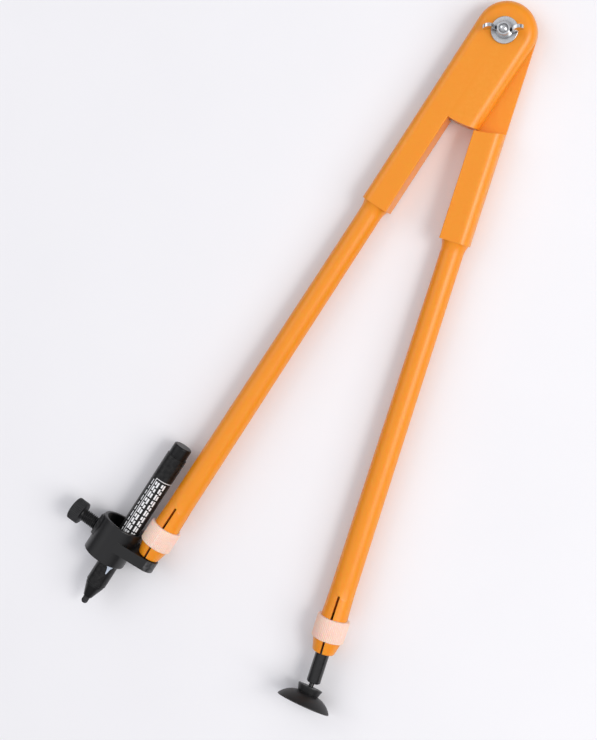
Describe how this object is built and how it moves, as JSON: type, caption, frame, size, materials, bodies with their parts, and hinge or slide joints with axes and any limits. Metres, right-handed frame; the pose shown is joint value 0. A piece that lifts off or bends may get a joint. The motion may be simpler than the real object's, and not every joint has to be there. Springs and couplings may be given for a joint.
{
  "type": "chalkboard compass",
  "caption": "Large plastic teaching compass with lapped legs, a wing nut pivot, a clamped marker pen on one leg and a suction cup foot on the other.",
  "frame": {"origin": "on the leg pivot axis, at the back face of the head, where the bolt head lies flush", "axes": "+Z along the pivot bolt towards the wing nut, -Y along the anchor leg towards the suction cup, +X to the right seen from the wing nut side"},
  "size_m": [0.2246, 0.5028, 0.0412],
  "materials": {
    "orange_plastic": "moulded, satin",
    "ring_plastic": "translucent, fine axial ribs",
    "plated_steel": "bright zinc plate",
    "washer_steel": "zinc plate",
    "holder_plastic": "moulded, fine grain",
    "screw_plastic": "moulded, knurled",
    "barrel_plastic": "printed barrel",
    "plug_plastic": "moulded",
    "nose_plastic": "moulded",
    "felt": "ink-soaked fibre",
    "nib_felt": "pressed felt",
    "rod_plastic": "polished",
    "stud_plastic": "moulded, smooth",
    "rubber": "soft, slightly glossy"
  },
  "bodies": {
    "anchor": {"anchor_leg": "orange_plastic", "pivot_bolt": "plated_steel"},
    "marker_arm": {"marker_leg": "orange_plastic"},
    "nut_washer": {"front_washer": "washer_steel"},
    "nut": {"wing_nut": "plated_steel"},
    "anchor_ring": {"anchor_lock_ring": "ring_plastic"},
    "marker_ring": {"marker_lock_ring": "ring_plastic"},
    "holder": {"marker_holder": "holder_plastic"},
    "screw": {"thumb_screw": "screw_plastic"},
    "marker": {"marker_barrel": "barrel_plastic", "marker_end_plug": "plug_plastic", "marker_ink_core": "felt", "marker_nose": "nose_plastic", "marker_nib": "nib_felt"},
    "rod": {"foot_rod": "rod_plastic"},
    "stud": {"ball_stud": "stud_plastic"},
    "cup": {"suction_cup": "rubber"}
  },
  "joints": [
    {"name": "leg_pivot", "type": "hinge", "parent": "anchor", "child": "marker_arm", "pos_m": [0, 0, 0.01], "axis": [0, 0, 1], "range_deg": [-120, 15.4]},
    {"name": "washer_lift", "type": "slide", "parent": "anchor", "child": "nut_washer", "axis": [0, 0, 1], "range_m": [0, 0.00151]},
    {"name": "wing_nut_turn", "type": "hinge", "parent": "nut_washer", "child": "nut", "pos_m": [0, 0, 0.0251], "axis": [0, 0, 1], "range_deg": [0, 540]},
    {"name": "anchor_ring_slide", "type": "slide", "parent": "anchor", "child": "anchor_ring", "axis": [0, 1, 0], "range_m": [0, 0.02]},
    {"name": "marker_ring_slide", "type": "slide", "parent": "marker_arm", "child": "marker_ring", "axis": [0.274, 0.9617, 0], "range_m": [0, 0.02]},
    {"name": "holder_swivel", "type": "hinge", "parent": "marker_arm", "child": "holder", "pos_m": [-0.13052, -0.4197, 0.01], "axis": [0.274, 0.9617, 0], "range_deg": [-60, 60]},
    {"name": "screw_travel", "type": "slide", "parent": "holder", "child": "screw", "axis": [-0.9617, 0.274, 0], "range_m": [0, 0.01]},
    {"name": "marker_slide", "type": "slide", "parent": "holder", "child": "marker", "axis": [0.274, 0.9617, 0], "range_m": [-0.01, 0.06]},
    {"name": "foot_rod_slide", "type": "slide", "parent": "anchor", "child": "rod", "axis": [0, 1, 0], "range_m": [-0.02, 0.01]},
    {"name": "cup_tilt", "type": "hinge", "parent": "rod", "child": "stud", "pos_m": [0.01055, -0.4575, 0.01], "axis": [-0.9613, 0, -0.2757], "range_deg": [-32.6, 3.4]},
    {"name": "cup_spin", "type": "hinge", "parent": "stud", "child": "cup", "pos_m": [0.01055, -0.4575, 0.01], "axis": [-0.0694, -0.9678, 0.2419], "continuous": true}
  ],
  "couplings": [
    {"joint": "washer_lift", "follows": "wing_nut_turn", "m_per_rad": 0.00015915}
  ]
}
